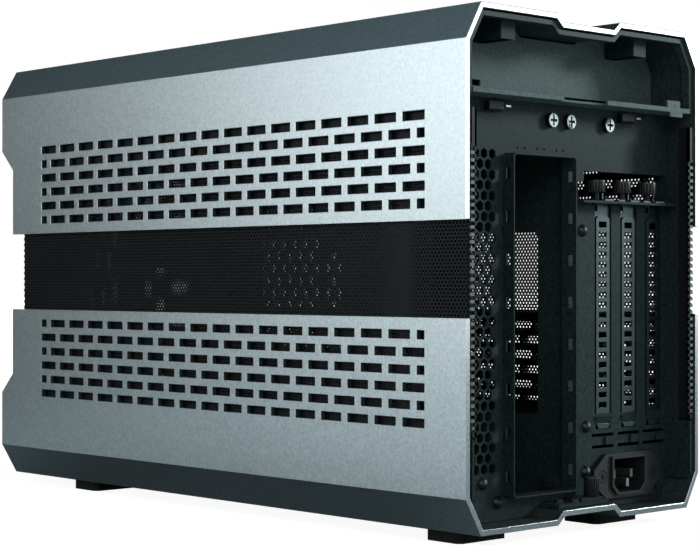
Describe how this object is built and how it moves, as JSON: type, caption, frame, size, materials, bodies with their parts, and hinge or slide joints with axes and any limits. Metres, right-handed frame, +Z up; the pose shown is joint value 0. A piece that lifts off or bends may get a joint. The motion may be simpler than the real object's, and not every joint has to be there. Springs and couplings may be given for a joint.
{
  "type": "computer case",
  "caption": "Compact computer case with two folded covers, brick-pattern vents, fine mesh sides and a steel chassis with board opening, expansion slots and mains inlet.",
  "frame": {"origin": "bottom centre, on the surface that the feet stand on", "axes": "+Z up, +Y towards the connector side at the back, +X towards the side with the main board"},
  "size_m": [0.174, 0.372, 0.245],
  "materials": {
    "cover_aluminium": "bead blasted and clear anodised",
    "chassis_black": "fine textured black powder coat",
    "mesh_black": "satin black coat over fine perforation",
    "fascia_plastic": "matt black",
    "foot_rubber": "matt",
    "plain_steel": "plated steel",
    "screw_black": "black oxide",
    "circuit_board": "solder resist",
    "contact_metal": "plated",
    "inlet_plastic": "moulded, fine grain"
  },
  "bodies": {
    "chassis": {"left_mesh": "mesh_black", "right_mesh": "mesh_black", "front_fascia": "fascia_plastic", "front_mesh": "mesh_black", "front_board": "circuit_board", "front_ports": "plain_steel", "base_tray": "chassis_black", "left_frame": "chassis_black", "right_frame": "chassis_black", "front_plate": "chassis_black", "rear_panel": "chassis_black", "opening_frame": "chassis_black", "rear_tray": "chassis_black", "fan_tray": "chassis_black", "left_rail": "chassis_black", "right_rail": "chassis_black", "motherboard_tray": "chassis_black", "standoffs": "contact_metal", "supply_bracket": "chassis_black", "slot_cover_1": "plain_steel", "slot_cover_2": "plain_steel", "slot_cover_3": "plain_steel", "latch_plate": "chassis_black", "latch_screws": "screw_black", "inlet_body": "inlet_plastic", "inlet_contacts": "contact_metal", "inlet_screws": "screw_black", "tray_catches": "fascia_plastic", "catch_pins": "plain_steel", "dome_rivets": "screw_black"},
    "upper_cover": {"upper_cover": "cover_aluminium", "upper_liner": "chassis_black"},
    "lower_cover": {"lower_cover": "cover_aluminium", "feet": "foot_rubber"},
    "power_button": {"power_button": "fascia_plastic"},
    "rear_screw_1": {"rear_screw_1": "screw_black"},
    "rear_screw_2": {"rear_screw_2": "screw_black"},
    "rear_screw_3": {"rear_screw_3": "screw_black"},
    "slot_screw_1": {"slot_screw_1": "screw_black"},
    "slot_screw_2": {"slot_screw_2": "screw_black"},
    "slot_screw_3": {"slot_screw_3": "screw_black"},
    "latch_knob": {"latch_knob": "screw_black"}
  },
  "joints": [
    {"name": "upper_cover_slide", "type": "slide", "parent": "chassis", "child": "upper_cover", "axis": [0, 1, 0], "range_m": [0, 0.02]},
    {"name": "lower_cover_slide", "type": "slide", "parent": "chassis", "child": "lower_cover", "axis": [0, 1, 0], "range_m": [0, 0.02]},
    {"name": "power_button_press", "type": "slide", "parent": "chassis", "child": "power_button", "axis": [0, 1, 0], "range_m": [0, 0.0012], "stiffness_N_per_m": 400, "springref_m": -0.001},
    {"name": "rear_screw_1_turn", "type": "hinge", "parent": "chassis", "child": "rear_screw_1", "pos_m": [0.01063, 0.1703, 0.1967], "axis": [0, 1, 0], "range_deg": [0, 1080]},
    {"name": "rear_screw_2_turn", "type": "hinge", "parent": "chassis", "child": "rear_screw_2", "pos_m": [-0.00267, 0.1703, 0.1967], "axis": [0, 1, 0], "range_deg": [0, 1080]},
    {"name": "rear_screw_3_turn", "type": "hinge", "parent": "chassis", "child": "rear_screw_3", "pos_m": [-0.0324, 0.1703, 0.1967], "axis": [0, 1, 0], "range_deg": [0, 1080]},
    {"name": "slot_screw_1_turn", "type": "hinge", "parent": "chassis", "child": "slot_screw_1", "pos_m": [-0.0199, 0.1736, 0.1634], "axis": [0, 0, 1], "range_deg": [0, 1080]},
    {"name": "slot_screw_2_turn", "type": "hinge", "parent": "chassis", "child": "slot_screw_2", "pos_m": [-0.04022, 0.1736, 0.1634], "axis": [0, 0, 1], "range_deg": [0, 1080]},
    {"name": "slot_screw_3_turn", "type": "hinge", "parent": "chassis", "child": "slot_screw_3", "pos_m": [-0.06054, 0.1736, 0.1634], "axis": [0, 0, 1], "range_deg": [0, 1080]},
    {"name": "latch_knob_turn", "type": "hinge", "parent": "chassis", "child": "latch_knob", "pos_m": [-0.013, 0.1765, 0.0195], "axis": [0, 0, 1], "range_deg": [0, 1080]}
  ]
}
